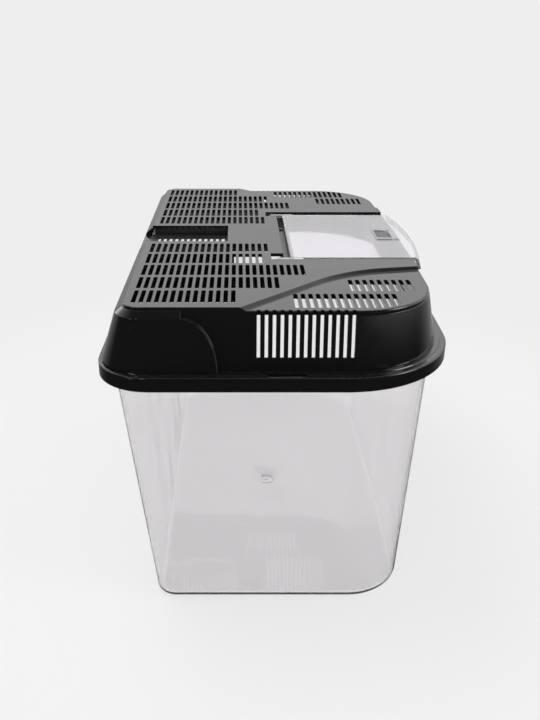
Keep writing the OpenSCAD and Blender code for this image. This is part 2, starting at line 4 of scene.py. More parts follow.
import bmesh
import bpy
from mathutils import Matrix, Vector


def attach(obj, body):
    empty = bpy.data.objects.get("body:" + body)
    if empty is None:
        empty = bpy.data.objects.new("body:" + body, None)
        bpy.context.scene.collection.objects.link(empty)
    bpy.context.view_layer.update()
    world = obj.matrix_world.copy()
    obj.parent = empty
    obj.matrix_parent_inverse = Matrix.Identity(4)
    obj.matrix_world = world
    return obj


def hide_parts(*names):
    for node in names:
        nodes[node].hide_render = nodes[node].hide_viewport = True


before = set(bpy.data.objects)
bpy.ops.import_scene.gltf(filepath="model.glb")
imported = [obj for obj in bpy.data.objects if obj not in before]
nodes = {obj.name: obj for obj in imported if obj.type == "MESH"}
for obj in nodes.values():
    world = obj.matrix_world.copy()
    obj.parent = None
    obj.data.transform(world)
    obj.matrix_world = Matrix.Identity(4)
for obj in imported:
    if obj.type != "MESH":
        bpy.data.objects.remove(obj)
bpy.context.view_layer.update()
mm = 0.001

print("stage: frame loaded,", len(nodes), "nodes")

cameraSetup = {
    "place": (-0.6034, 0.0262, 0.3945),
    "pitchDown": 24.58,  # degrees below level, looking along +X
    "lens": 38.25,
    "sensor": 36.0,
    "shift": 0.0426,  # the photograph's middle lies this far beside the lens axis
    "clip": (0.01, 60),
}
cameraData = bpy.data.cameras.new("camera")
cameraData.lens = cameraSetup["lens"]
cameraData.sensor_width = cameraSetup["sensor"]
cameraData.shift_x = cameraSetup["shift"]
cameraData.clip_start, cameraData.clip_end = cameraSetup["clip"]
camera = bpy.data.objects.new("camera", cameraData)
camera.location = cameraSetup["place"]
camera.rotation_euler = (math.radians(90 - cameraSetup["pitchDown"]), 0, math.radians(-90))
bpy.context.scene.collection.objects.link(camera)
bpy.context.scene.camera = camera
bpy.context.scene.view_settings.view_transform = "Standard"
print("stage: camera placed")


class Value:
    # A socket that takes part in sums; each operator adds a Math node
    def __init__(self, finish, socket):
        self.finish = finish
        self.socket = socket

    def sum(self, operation, *values):
        return self.finish.add("ShaderNodeMath", {"operation": operation}, dict(enumerate(values)))

    def __add__(self, other):
        return self.sum("ADD", self, other)

    def __radd__(self, other):
        return self.sum("ADD", other, self)

    def __sub__(self, other):
        return self.sum("SUBTRACT", self, other)

    def __rsub__(self, other):
        return self.sum("SUBTRACT", other, self)

    def __mul__(self, other):
        return self.sum("MULTIPLY", self, other)

    def __rmul__(self, other):
        return self.sum("MULTIPLY", other, self)

    def atMost(self, other):
        return self.sum("MINIMUM", self, other)

    def atLeast(self, other):
        return self.sum("MAXIMUM", self, other)


class Finish:
    # A node tree under construction: a material's, or the world's
    def __init__(self, owner):
        owner.use_nodes = True
        self.owner = owner
        self.tree = owner.node_tree
        self.tree.nodes.clear()

    def add(self, kind, settings=None, sockets=None, out=0):
        node = self.tree.nodes.new(kind)
        for key, value in (settings or {}).items():
            setattr(node, key, value)
        for key, value in (sockets or {}).items():
            if isinstance(value, Value):
                self.tree.links.new(value.socket, node.inputs[key])
            else:
                node.inputs[key].default_value = value
        return Value(self, node.outputs[out])

    def place(self):
        return self.add("ShaderNodeTexCoord", out="Object")

    def part(self, vector, axis):
        return self.add("ShaderNodeSeparateXYZ", {}, {0: vector}, out="XYZ".index(axis))

    def noise(self, where, scale, detail, roughness=0.5, stretch=None):
        if stretch:
            where = self.add("ShaderNodeMapping", {}, {"Vector": where, "Scale": stretch})
        return self.add("ShaderNodeTexNoise", {}, {
            "Vector": where,
            "Scale": scale,
            "Detail": detail,
            "Roughness": roughness,
        })

    def between(self, value, low, high, first=0.0, last=1.0):
        return self.add("ShaderNodeMapRange", {"interpolation_type": "SMOOTHSTEP"}, {
            "Value": value,
            "From Min": low,
            "From Max": high,
            "To Min": first,
            "To Max": last,
        })

    def band(self, value, start, full, fade, end):
        # Rises from start to full and falls again from fade to end
        return self.between(value, start, full) * self.between(value, end, fade)

    def mixColour(self, share, first, second):
        return self.add("ShaderNodeMix", {"data_type": "RGBA"}, {"Factor": share, 6: first, 7: second}, out=2)

    def bump(self, height, distance, under=None):
        sockets = {"Height": height, "Strength": 1.0, "Distance": distance}
        if under is not None:
            sockets["Normal"] = under
        return self.add("ShaderNodeBump", {}, sockets)

    def rays(self):
        # First the rays that see the pale backdrop, also through clear plastic; then the mirrored ones
        isCamera = self.add("ShaderNodeLightPath", out="Is Camera Ray")
        isClear = self.add("ShaderNodeLightPath", out="Is Transmission Ray")
        passed = self.add("ShaderNodeLightPath", out="Transmission Depth").atMost(1.0)
        isGlossy = self.add("ShaderNodeLightPath", out="Is Glossy Ray") * (1 - passed)
        return isCamera.atLeast(isClear).atLeast(passed), isGlossy

    def finishWith(self, shader, kind="ShaderNodeOutputMaterial"):
        output = self.tree.nodes.new(kind)
        self.tree.links.new(shader.socket, output.inputs["Surface"])
        return self.owner


blackLook = {
    "cloudScale": 16,
    "cloudRange": (0.7, 1.35),  # darkest and lightest share of the tint
    "smudgeScale": 38,
    "smudgeRange": (0.48, 0.72),
    "smudgeRough": 0.05,
    "scratchScale": 210,
    "scratchStretch": (1.0, 0.04, 1.0),
    "scratchRange": (0.66, 0.74),
    "scratchRough": 0.08,
    "dustAndSheenScale": 900,
    "dustAndSheenFacing": (0.6, 0.95),  # dust specks on what faces up; their light colour is partly a painted sheen
    "dustAndSheenRange": (0.5, 0.75),
    "dustRough": 0.06,
    "dustAndSheenShare": 0.05,
    "dustAndSheenColour": (0.45, 0.44, 0.43, 1.0),
    "waveScale": 26,
    "waveHeight": 0.25 * mm,
    "grainScale": 520,
    "grainHeight": 0.012 * mm,
    "ior": 1.5,
}


def blackPlastic(name, tint, roughness, peel=1.0):
    look = blackLook
    finish = Finish(bpy.data.materials.new(name))
    where = finish.place()
    cloud = finish.noise(where, look["cloudScale"], 2.0)
    smudge = finish.between(finish.noise(where, look["smudgeScale"], 4.0, 0.6), *look["smudgeRange"])
    streaks = finish.noise(where, look["scratchScale"], 2.0, 0.5, look["scratchStretch"])
    scratch = finish.between(streaks, *look["scratchRange"])
    facing = finish.part(finish.add("ShaderNodeNewGeometry", out="Normal"), "Z")
    specks = finish.between(finish.noise(where, look["dustAndSheenScale"], 2.0, 0.7), *look["dustAndSheenRange"])
    dustAndSheen = finish.between(facing, *look["dustAndSheenFacing"]) * specks
    dark, light = [tuple(c * share for c in tint) + (1.0,) for share in look["cloudRange"]]
    base = finish.mixColour(cloud, dark, light)
    # Up-facing faces get light grey specks: partly real dust, partly a painted sheen that lightens the deck
    # as if it mirrored the sky
    base = finish.mixColour(dustAndSheen * look["dustAndSheenShare"], base, look["dustAndSheenColour"])
    wavy = finish.bump(finish.noise(where, look["waveScale"], 1.0), look["waveHeight"] * peel)
    fine = finish.bump(finish.noise(where, look["grainScale"], 2.0), look["grainHeight"] * peel, wavy)
    marks = smudge * look["smudgeRough"] + scratch * look["scratchRough"] + dustAndSheen * look["dustRough"]
    shader = finish.add("ShaderNodeBsdfPrincipled", {}, {
        "Base Color": base,
        "Roughness": roughness + marks,
        "Normal": fine,
        "IOR": look["ior"],
    })
    return finish.finishWith(shader)


clearLook = {
    "hazeScale": 9,
    "hazeDark": 0.985,
    "smudgeScale": 30,
    "smudgeRange": (0.45, 0.75),
    "smudgeRough": 0.03,
    "waveScale": 14,
    "waveHeight": 1.2 * mm,
    "grainScale": 160,
    "grainHeight": 0.02 * mm,
    "ior": 1.49,
}


def clearPlastic(name, tint, roughness, wave, clarity):
    look = clearLook
    finish = Finish(bpy.data.materials.new(name))
    where = finish.place()
    smudge = finish.between(finish.noise(where, look["smudgeScale"], 4.0, 0.6), *look["smudgeRange"])
    haze = finish.noise(where, look["hazeScale"], 2.0)
    dark = tuple(c * look["hazeDark"] for c in tint) + (1.0,)
    wavy = finish.bump(finish.noise(where, look["waveScale"], 1.0), look["waveHeight"] * wave)
    fine = finish.bump(finish.noise(where, look["grainScale"], 2.0), look["grainHeight"] * wave, wavy)
    shader = finish.add("ShaderNodeBsdfPrincipled", {}, {
        "Base Color": finish.mixColour(haze, dark, tint + (1.0,)),
        "Roughness": roughness + smudge * look["smudgeRough"],
        "Normal": fine,
        "IOR": look["ior"],
        "Transmission Weight": clarity,
    })
    return finish.finishWith(shader)


finishes = {
    "lid": blackPlastic("lid black", (0.005, 0.005, 0.0055), 0.1),
    "inside": blackPlastic("lid black inside", (0.012, 0.012, 0.013), 0.3, 0.6),
    "tub": clearPlastic("tub clear", (0.978, 0.964, 0.976), 0.02, 0.4, 0.94),
    "hatch": clearPlastic("hatch clear", (0.87, 0.85, 0.895), 0.02, 0.15, 0.86),
}
print("stage: finishes made")


def dress(piece, finish):
    piece.data.materials.clear()
    piece.data.materials.append(finish)


def roundEdges(piece, width, steps, angle, clamp):
    edge = piece.modifiers.new("edge", "BEVEL")
    edge.width = width
    edge.segments = steps
    edge.limit_method = "ANGLE"
    edge.angle_limit = math.radians(angle)
    edge.use_clamp_overlap = clamp
    return edge


def evenShading(piece):
    # Keeps large faces flat in the light beside their rounded edges
    shade = piece.modifiers.new("shade", "WEIGHTED_NORMAL")
    shade.weight = 90
    shade.keep_sharp = True
    return shade


def softenEdges(piece, width):
    # Joins the split corners of a carried-over solid and rounds its sharp edges
    for polygon in piece.data.polygons:
        polygon.use_smooth = True
    weld = piece.modifiers.new("weld", "WELD")
    weld.merge_threshold = 0.005 * mm
    flat = piece.modifiers.new("flat", "DECIMATE")
    flat.decimate_type = "DISSOLVE"
    flat.angle_limit = math.radians(0.2)
    roundEdges(piece, width, 2, 30, False).face_strength_mode = "FSTR_ALL"
    evenShading(piece).use_face_influence = True


carriedOver = {  # finish, and the width of the rounded edges
    "lid_walls": ("lid", 0.3 * mm),
    "recess_tray": ("inside", 0.2 * mm),
    "hatch_frame": ("lid", 0.2 * mm),
    "hinge_trough": ("inside", 0.2 * mm),
    "hatch_catch": ("lid", 0.2 * mm),
}
for name, (finishName, width) in carriedOver.items():
    dress(nodes[name], finishes[finishName])
    softenEdges(nodes[name], width)
print("stage: carried-over solids dressed")


def mixed(first, last, share):
    return [a + (b - a) * share for a, b in zip(first, last)]


def arcPoints(x, y, radius, start, end, steps):
    # Points along an arc, with both its ends; the angles are in degrees
    angles = [math.radians(start + (end - start) * i / steps) for i in range(steps + 1)]
    return [(x + radius * math.cos(a), y + radius * math.sin(a)) for a in angles]


smallestRadius = 2 * mm


def insetBy(shape, amount):
    length, back, front, backRadius, frontRadius, bow = shape
    return [length - amount, back - amount, front + amount,
            max(backRadius - amount, smallestRadius), max(frontRadius - amount, smallestRadius), bow]


outlineSteps = {"back": 14, "front": 28, "edge": 40}


def shapePoints(shape):
    # Rounded outline whose front bows out towards -Y, anticlockwise from above
    length, back, front, backRadius, frontRadius, bow = shape
    flatFront = front + bow
    x = length - frontRadius
    xBack = length - backRadius
    steps = outlineSteps["edge"]
    points = [(-x + 2 * x * i / steps, flatFront) for i in range(steps)]
    points += arcPoints(x, flatFront + frontRadius, frontRadius, 270, 360, outlineSteps["front"])
    points += arcPoints(xBack, back - backRadius, backRadius, 0, 90, outlineSteps["back"])
    points += arcPoints(-xBack, back - backRadius, backRadius, 90, 180, outlineSteps["back"])
    points += arcPoints(-x, flatFront + frontRadius, frontRadius, 180, 270, outlineSteps["front"])[:-1]
    return [(px, py - (bow * (1 - (px / length) ** 2) if py < 0 else 0)) for px, py in points]


def ringAt(shape, height):
    return [(x, y, height) for x, y in shapePoints(shape)]


def pieceOf(bm, name, sharpAngle):
    # Smooth-shaded object whose corners stay sharp
    mesh = bpy.data.meshes.new(name)
    bm.to_mesh(mesh)
    bm.free()
    mesh.shade_smooth()
    mesh.set_sharp_from_angle(angle=math.radians(sharpAngle))
    piece = bpy.data.objects.new(name, mesh)
    bpy.context.scene.collection.objects.link(piece)
    return piece


def loftPiece(name, rings, loop=False):
    # Closed skin through rings of (x, y, z) points; ends are capped unless the rings loop
    bm = bmesh.new()
    rows = [[bm.verts.new(p) for p in ring] for ring in rings]
    count = len(rings[0])
    last = len(rows) if loop else len(rows) - 1
    for j in range(last):
        low, high = rows[j], rows[(j + 1) % len(rows)]
        for i in range(count):
            k = (i + 1) % count
            bm.faces.new((low[i], low[k], high[k], high[i]))
    if not loop:
        bm.faces.new(list(reversed(rows[0])))
        bm.faces.new(rows[-1])
    bmesh.ops.recalc_face_normals(bm, faces=bm.faces)
    return pieceOf(bm, name, 35)


tubParts = {
    "foot": [162.4 * mm, 86.5 * mm, -96.5 * mm, 14 * mm, 40 * mm, 3 * mm],
    "head": [172.5 * mm, 108 * mm, -108 * mm, 22.5 * mm, 59.5 * mm, 5 * mm],
    "wallTop": 186.8 * mm,
    "wall": 2.2 * mm,
    "floor": 2.4 * mm,
    "footRadius": 5 * mm,
    "innerRadius": 4 * mm,
    "cornerSteps": 8,
    "wallSteps": 6,
    "gate": (-8 * mm, 2 * mm),  # moulding mark in the middle of the floor
    "gateRadius": 7.5 * mm,
    "gateUnder": [(1.6, 0.25), (6.5, 0.25), (7.5, 0)],  # radius and height, in mm
    "gateOver": [(7.5, 0), (7.15, 0.35), (6.7, 0.35), (6.3, 0), (2, 0), (1.6, 0.5), (0.64, 0.65)],
}


def tubSide(height):
    return mixed(tubParts["foot"], tubParts["head"], height / tubParts["wallTop"])


def shrinkTo(ring, centre, radius, height, share):
    # Ring on its way from the tub's outline to a circle round the gate mark
    made = []
    for x, y, _ in ring:
        angle = math.atan2(y - centre[1], x - centre[0])
        circle = (centre[0] + radius * math.cos(angle), centre[1] + radius * math.sin(angle))
        made.append((x + (circle[0] - x) * share, y + (circle[1] - y) * share, height))
    return made


def buildTub():
    parts = tubParts
    gate, floor, wall = parts["gate"], parts["floor"], parts["wall"]
    footRadius, innerRadius = parts["footRadius"], parts["innerRadius"]
    wallSteps, cornerSteps = parts["wallSteps"], parts["cornerSteps"]
    footRing = ringAt(insetBy(tubSide(0), footRadius), 0)
    rings = []
    for radius, height in parts["gateUnder"]:
        rings.append(shrinkTo(footRing, gate, radius * mm, height * mm, 1.0))
    for share in (0.8, 0.5, 0.2):
        rings.append(shrinkTo(footRing, gate, parts["gateRadius"], 0.0, share))
    for i in range(cornerSteps + 1):
        angle = math.radians(90 * i / cornerSteps)
        height = footRadius * (1 - math.cos(angle))
        rings.append(ringAt(insetBy(tubSide(height), footRadius * (1 - math.sin(angle))), height))
    for i in range(1, wallSteps + 1):
        height = footRadius + (parts["wallTop"] - footRadius) * i / wallSteps
        rings.append(ringAt(tubSide(height), height))
    low = floor + innerRadius
    for i in range(wallSteps, -1, -1):
        height = low + (parts["wallTop"] - low) * i / wallSteps
        rings.append(ringAt(insetBy(tubSide(height), wall), height))
    for i in range(cornerSteps - 1, -1, -1):
        angle = math.radians(90 * i / cornerSteps)
        height = floor + innerRadius * (1 - math.cos(angle))
        rings.append(ringAt(insetBy(tubSide(height), wall + innerRadius * (1 - math.sin(angle))), height))
    floorRing = rings[-1]
    for share in (0.2, 0.5, 0.8, 0.95):
        rings.append(shrinkTo(floorRing, gate, parts["gateRadius"] + 0.5 * mm, floor, share))
    for radius, rise in parts["gateOver"]:
        rings.append(shrinkTo(floorRing, gate, radius * mm, floor + rise * mm, 1.0))
    tub = loftPiece("tub_shell", rings)
    dress(tub, finishes["tub"])
    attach(tub, "tub")
    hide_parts("tub")


rimParts = {
    "out": [180.8 * mm, 113.3 * mm, -113.3 * mm, 30.8 * mm, 67.8 * mm, 5 * mm],
    "top": 189.0 * mm,
    "plate": 2.2 * mm,
    "bead": 3.4 * mm,
    "beadWall": 2 * mm,
    "round": 0.6 * mm,
    "edge": 0.3 * mm,
}


def buildRim():
    parts = rimParts
    out, top, edge, rounding = parts["out"], parts["top"], parts["edge"], parts["round"]
    inner = insetBy(tubParts["head"], tubParts["wall"])
    under, low = top - parts["plate"], top - parts["bead"]
    rings = [ringAt(out, low + rounding / 2)]
    for i in range(5):
        angle = math.radians(90 * i / 4)
        inwards = rounding * (1 - math.cos(angle))
        rings.append(ringAt(insetBy(out, inwards), top - rounding * (1 - math.sin(angle))))
    rings.append(ringAt(insetBy(inner, -edge), top))
    rings.append(ringAt(inner, top - edge))
    rings.append(ringAt(inner, under))
    rings.append(ringAt(insetBy(out, parts["beadWall"]), under))
    rings.append(ringAt(insetBy(out, parts["beadWall"]), low))
    rings.append(ringAt(insetBy(out, edge), low))
    rim = loftPiece("tub_rim_bead", rings, loop=True)
    dress(rim, finishes["tub"])
    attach(rim, "tub")
    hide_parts("tub_rim")


lidParts = {
    "foot": [176 * mm, 111.5 * mm, -109.5 * mm, 24 * mm, 60 * mm, 5 * mm],
    "head": [169.5 * mm, 98.5 * mm, -100.2 * mm, 11 * mm, 50 * mm, 3 * mm],
    "rim": [185 * mm, 117.5 * mm, -117.5 * mm, 35 * mm, 72 * mm, 5 * mm],
    "flange": 191.4 * mm,
    "top": 231 * mm,
    "deckUnder": 228.55 * mm,
    "cover": 0.03 * mm,  # the deck laps this far outside the walls and hides the seam
    "roll": 0.9 * mm,  # round of the deck's outer edge, at the sides and behind rollFrom
    "rollFrom": 90 * mm,
    "edge": 0.3 * mm,  # round of its other edges
    "curveStart": 25.7 * mm,
    "curveStartAngle": 45,
    "curveFront": 87 * mm,
    "curveFrontAngle": 80,
    "curveRadius": 95 * mm,
    "curveSteps": 24,
    "bay": 70.5 * mm,
    "notchBack": 3.0 * mm,
    "notchSide": 56.3 * mm,
    "notchFloor": (221.6 * mm, 223.4 * mm),
    "notchLap": (4 * mm, 1.3 * mm),  # the notch's floor goes on this far sideways and back
    "channelBack": -6.3 * mm,
    "recess": 23.5 * mm,
    "recessFront": 35.5 * mm,
    "column": 91.9 * mm,
    "pitch": 4.76 * mm,
    "rowStart": 41.7 * mm,
    "rowPitch": 27 * mm,
    "rowCounts": [19, 18, 24, 20, 14],
    "slotLength": 22.4 * mm,
    "slotWidth": 2.65 * mm,
    "slotRadius": 0.8 * mm,
    "slotEdge": 0.25 * mm,
    "ribTop": 229.2 * mm,
    "ribs": [  # pitches from the first slot to the rib's front end, its back end, its depth
        (18.5, 33.4 * mm, 6.4 * mm),
        (13, 96 * mm, 8.2 * mm),
        (23.5, 96 * mm, 8.2 * mm),
        (23.5, 96 * mm, 8.2 * mm),
        (18.5, 96 * mm, 8.2 * mm),
    ],
}


def offsetLoop(points, reach):
    # Moves each edge of a closed plan inwards by its own reach (left of the way round)
    count = len(points)
    moved = []
    for i in range(count):
        before, here, after = points[i - 1], points[i], points[(i + 1) % count]
        first = Vector((here[0] - before[0], here[1] - before[1])).normalized()
        second = Vector((after[0] - here[0], after[1] - here[1])).normalized()
        a, b = Vector((-first.y, first.x)), Vector((-second.y, second.x))
        reachA, reachB = reach[i - 1], reach[i]
        cross = a.x * b.y - a.y * b.x
        if abs(cross) < 0.12:  # nearly straight on
            side = (a + b).normalized() * ((reachA + reachB) / 2)
        else:
            side = Vector(((reachA * b.y - reachB * a.y) / cross, (a.x * reachB - b.x * reachA) / cross))
        moved.append((here[0] + side.x, here[1] + side.y))
    return moved


def roundedSlot(x, y, length):
    radius = lidParts["slotRadius"]
    points = []
    for across, along, start in ((1, 1, 0), (-1, 1, 90), (-1, -1, 180), (1, -1, 270)):
        cornerX = x + across * (length / 2 - radius)
        cornerY = y + along * (lidParts["slotWidth"] / 2 - radius)
        points += arcPoints(cornerX, cornerY, radius, start, start + 90, 3)
    return points


def slabInto(bm, border, reach, slots, top, under, steps=3):
    # Flat plate with rounded upper edges: its border's edges by their own reach, its slots by one
    rims = {"top": [], "under": []}

    def skin(points, reaches, inwards):
        rows = []
        count = len(points)
        flip = 1 if inwards else -1
        for step in range(steps + 1):
            angle = math.radians(90 * step / steps)
            loop = offsetLoop(points, [flip * r * (1 - math.sin(angle)) for r in reaches])
            drops = [r * (1 - math.cos(angle)) for r in reaches]
            heights = [top - (drops[i - 1] + drops[i]) / 2 for i in range(count)]
            rows.append([bm.verts.new((x, y, z)) for (x, y), z in zip(loop, heights)])
        rows.append([bm.verts.new((x, y, under)) for x, y in points])
        for high, low in zip(rows, rows[1:]):
            for i in range(count):
                k = (i + 1) % count
                face = (high[i], low[i], low[k], high[k])
                bm.faces.new(face if inwards else face[:1] + face[:0:-1])
        for key, row in (("top", rows[0]), ("under", rows[-1])):
            for i in range(count):
                rims[key].append(bm.edges.get((row[i], row[(i + 1) % count])))

    skin(border, reach, True)
    for slot in slots:
        skin(slot, [lidParts["slotEdge"]] * len(slot), False)
    for key, upwards in (("top", 1), ("under", -1)):
        bmesh.ops.triangle_fill(bm, use_beauty=True, edges=rims[key], normal=(0, 0, upwards))


def boxInto(bm, low, high):
    for vert in bmesh.ops.create_cube(bm, size=1.0)["verts"]:
        vert.co = [l + (h - l) * (c + 0.5) for l, h, c in zip(low, high, vert.co)]


def mirrorAcross(bm):
    # Turns a left-hand mesh into the right-hand one
    for vert in bm.verts:
        vert.co.x = -vert.co.x
    bmesh.ops.reverse_faces(bm, faces=bm.faces)


def pieceFrom(bm, name, finish, body, replaced, sharp=32):
    bmesh.ops.recalc_face_normals(bm, faces=bm.faces)
    piece = pieceOf(bm, name, sharp)
    evenShading(piece)
    dress(piece, finish)
    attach(piece, body)
    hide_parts(*replaced)


def wallAt(height):
    share = (height - lidParts["flange"]) / (lidParts["top"] - lidParts["flange"])
    return mixed(lidParts["foot"], lidParts["head"], share)


def frontOf(shape, x):
    return shape[2] + shape[5] - shape[5] * (1 - (x / shape[0]) ** 2)


def deckCurve():
    # Plan of the deck's curved edge on the left: straight start, bend, straight finish
    parts = lidParts
    radius, steps = parts["curveRadius"], parts["curveSteps"]
    start = Vector((-parts["head"][0], parts["curveStart"]))
    finish = Vector((-parts["curveFront"], parts["head"][2]))
    a0, a1 = math.radians(parts["curveStartAngle"]), math.radians(parts["curveFrontAngle"])
    d0, d1 = Vector((math.cos(a0), -math.sin(a0))), Vector((math.cos(a1), -math.sin(a1)))
    gap = finish - start
    cross = d0.x * d1.y - d0.y * d1.x
    meet = start + d0 * ((gap.x * d1.y - gap.y * d1.x) / cross)
    bend = meet - d0 * (radius * math.tan((a1 - a0) / 2))
    centre = bend - radius * Vector((math.sin(a0), math.cos(a0)))
    points = [start]
    for i in range(steps + 1):
        angle = math.pi / 2 - a0 + (a0 - a1) * i / steps
        points.append(centre + radius * Vector((math.cos(angle), math.sin(angle))))
    return [tuple(p) for p in points + [finish]]


def shiftPath(path, reach):
    moved = []
    for i in range(len(path)):
        before, after = path[max(i - 1, 0)], path[min(i + 1, len(path) - 1)]
        along = Vector((after[0] - before[0], after[1] - before[1])).normalized()
        moved.append((path[i][0] + along.y * reach, path[i][1] - along.x * reach))
    return moved


def sweepInto(bm, path, profile):
    # Closed band along a plan path; the profile gives (reach to the path's right, height) pairs
    columns = []
    for reach, height in profile:
        columns.append([(x, y, height) for x, y in shiftPath(path, reach)])
    rows = [[bm.verts.new(point) for point in row] for row in zip(*columns)]
    for first, second in zip(rows, rows[1:]):
        for j in range(len(profile)):
            k = (j + 1) % len(profile)
            bm.faces.new((first[j], first[k], second[k], second[j]))
    bm.faces.new(rows[0])
    bm.faces.new(list(reversed(rows[-1])))


def cutAway(bm, place, outwards):
    # Trims the mesh by a plane and closes the cut
    cut = bmesh.ops.bisect_plane(bm, geom=bm.verts[:] + bm.edges[:] + bm.faces[:], plane_co=place,
                                 plane_no=outwards, clear_outer=True, dist=1e-7)
    edges = [e for e in cut["geom_cut"] if isinstance(e, bmesh.types.BMEdge) and e.is_boundary]
    if edges:
        bmesh.ops.contextual_create(bm, geom=edges)


def mirrored(points):
    return [(-x, y) for x, y in reversed(points)]


def buildDeck():
    # Raised deck in one sheet, with its slots, the ribs under it and a floor below the arm notches
    parts = lidParts
    cover = parts["cover"]
    length, back = parts["head"][0] + cover, parts["head"][1] + cover
    head = [length, back, parts["head"][2] - cover] + parts["head"][3:]
    radius = head[3]
    curve = [(-length, parts["curveStart"] + cover)] + deckCurve()[1:-1]
    last = curve[-1]
    slope = math.tan(math.radians(90 - parts["curveFrontAngle"]))
    frontX = last[0] + (last[1] - frontOf(head, -parts["curveFront"])) * slope
    curve.append((frontX, frontOf(head, frontX)))
    bay, notch, notchBack = parts["bay"], parts["notchSide"], parts["notchBack"]
    channelBack = parts["channelBack"]
    recess, recessFront = parts["recess"], parts["recessFront"]
    border = [(bay, frontOf(head, bay))] + mirrored(curve)
    border += arcPoints(length - radius, back - radius, radius, 0, 90, 8)
    border += [(recess, back), (recess, recessFront), (-recess, recessFront), (-recess, back)]
    border += arcPoints(radius - length, back - radius, radius, 90, 180, 8)
    border += curve
    border += [(-bay, frontOf(head, -bay)), (-bay, notchBack), (-notch, notchBack), (-notch, channelBack),
               (notch, channelBack), (notch, notchBack), (bay, notchBack)]
    reach = []
    for x, y in border:
        outer = y > parts["rollFrom"] or abs(abs(x) - length) < 0.001 * mm
        reach.append(parts["roll"] if outer and abs(x) > recess else parts["edge"])
    slots = []
    for side in (-1, 1):
        for k, count in enumerate(parts["rowCounts"]):
            x = side * (parts["rowStart"] + k * parts["rowPitch"])
            for i in range(count):
                slots.append(roundedSlot(x, parts["column"] - parts["pitch"] * i, parts["slotLength"]))
    bm = bmesh.new()
    slabInto(bm, border, reach, slots, parts["top"], parts["deckUnder"])
    gap = parts["rowPitch"] - parts["slotLength"]
    floorLow, floorHigh = parts["notchFloor"]
    lapSide, lapBack = parts["notchLap"]
    for side in (-1, 1):
        for k, (pitches, ribBack, depth) in enumerate(parts["ribs"]):
            outer = parts["rowStart"] - parts["slotLength"] / 2 + k * parts["rowPitch"]
            low, high = sorted((side * outer, side * (outer - gap)))
            ribFront = parts["column"] - pitches * parts["pitch"]
            boxInto(bm, (low, ribFront, parts["top"] - depth), (high, ribBack, parts["ribTop"]))
        low, high = sorted((side * notch, side * (bay + lapSide)))
        boxInto(bm, (low, channelBack, floorLow), (high, notchBack + lapBack, floorHigh))
    pieceFrom(bm, "lid_deck", finishes["lid"], "lid", ["lid_deck_left", "lid_deck_right"])


stepParts = {
    "lead": 6 * mm,  # the band starts and ends this far outside the lid and is trimmed there
    "lap": 0.02 * mm,
    "profile": [  # reach outwards from the deck's edge and height, in mm
        (-2.2, 225.8), (-2.2, 230.4), (-0.6, 230.94), (-0.1, 230.9),
        (0.35, 230.58), (2.1, 228.92), (2.6, 228.75), (2.6, 225.8),
    ],
}


def buildSteps():
    # Sloped step and upright web under the deck's curved edges
    parts = stepParts
    curve = [Vector(p) for p in deckCurve()]
    first = curve[0] + parts["lead"] * (curve[0] - curve[1]).normalized()
    final = curve[-1] + parts["lead"] * (curve[-1] - curve[-2]).normalized()
    path = [tuple(p) for p in [first] + curve + [final]]
    profile = [(reach * mm, height * mm) for reach, height in parts["profile"]]
    endX = -lidParts["head"][0] - parts["lap"]
    frontY = frontOf(lidParts["head"], -lidParts["curveFront"]) - parts["lap"]
    both = bmesh.new()
    for side in (-1, 1):
        bm = bmesh.new()
        sweepInto(bm, path, profile)
        cutAway(bm, (endX, 0, 0), (-1, 0, 0))
        cutAway(bm, (0, frontY, 0), (0, -1, 0))
        if side > 0:
            mirrorAcross(bm)
        mesh = bpy.data.meshes.new("step")
        bm.to_mesh(mesh)
        bm.free()
        both.from_mesh(mesh)
        bpy.data.meshes.remove(mesh)
    pieceFrom(both, "lid_deck_step", finishes["lid"], "lid", [], sharp=50)


wingParts = {
    "top": 228.8 * mm,
    "under": 225.45 * mm,
    "roll": 1.5 * mm,
    "cover": 0.03 * mm,
    "stepEdge": 0.2 * mm,  # round along the deck's step
    "stepLap": 1.0 * mm,  # the wing goes on this far under it
    "stepClear": 0.5 * mm,
    "startLap": 0.6 * mm,
    "margin": 4 * mm,
    "marginBack": 1.6 * mm,  # a slot's end keeps the margin of a point this far behind it
    "leastStep": 0.02 * mm,
    "pitch": 4.85 * mm,
    "rows": [(151.6 * mm, -9.5 * mm, 14, 25 * mm), (122.3 * mm, -48.1 * mm, 9, 22.5 * mm)],
    "endFirst": 14.5 * mm,
    "endCount": 13,
    "endWidth": 2.05 * mm,
    "endIn": 167.9 * mm,
    "endEdge": 0.15 * mm,
}


def wingBorder(shape):
    # Plan of the left wing with its upright end slots, and the round of each of its edges
    parts = wingParts
    length, back, front, backRadius, radius, bow = shape
    curve = deckCurve()
    inner = []
    for x, y in shiftPath(curve, -parts["stepLap"]):
        if x > -length + parts["stepClear"] and y > frontOf(shape, x) + parts["stepClear"]:
            inner.append((x, y))
    marks = [(-length, curve[0][1] + parts["startLap"], parts["roll"])]
    for i in range(parts["endCount"]):
        y = parts["endFirst"] - parts["pitch"] * i
        if y >= front + radius:
            half = parts["endWidth"] / 2
            marks += [(-length, y + half, parts["endEdge"]), (-parts["endIn"], y + half, parts["endEdge"]),
                      (-parts["endIn"], y - half, parts["endEdge"]), (-length, y - half, parts["roll"])]
    for x, y in arcPoints(radius - length, front + bow + radius, radius, 180, 270, 30):
        marks.append((x, y - (bow * (1 - (x / length) ** 2) if y < 0 else 0), parts["roll"]))
    marks.append((inner[-1][0], frontOf(shape, inner[-1][0]), parts["stepEdge"]))
    marks += [(x, y, parts["stepEdge"]) for x, y in reversed(inner)]
    return [(x, y) for x, y, _ in marks], [roll for _, _, roll in marks]


